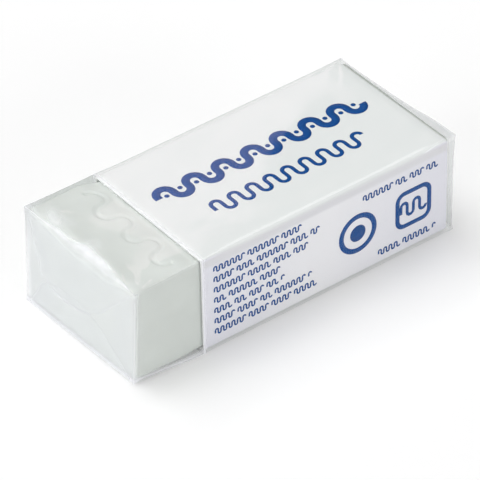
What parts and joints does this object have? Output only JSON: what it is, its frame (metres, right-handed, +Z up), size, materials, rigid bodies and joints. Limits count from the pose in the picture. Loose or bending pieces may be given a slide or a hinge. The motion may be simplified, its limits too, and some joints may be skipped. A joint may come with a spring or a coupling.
{
  "type": "eraser",
  "caption": "Small soft vinyl block eraser in a folded card sleeve that leaves one end bare, overwrapped in clear film with folded, sealed ends.",
  "frame": {"origin": "middle of the film's flat base, the plane that the wrapped eraser rests on", "axes": "+X along the block towards its sleeved end, +Y across it towards the fold that the sleeve's outer base panel hangs from, +Z up through the top panel"},
  "size_m": [0.0446, 0.0198, 0.0131],
  "materials": {
    "vinyl": "soft matt vinyl, off-white with a faint green tint",
    "card": "white coated card with a soft sheen and blue print",
    "film": "clear glossy film"
  },
  "bodies": {
    "root": {"eraser_block": "vinyl", "card_sleeve": "card", "film_wrap": "film"}
  },
  "joints": []
}
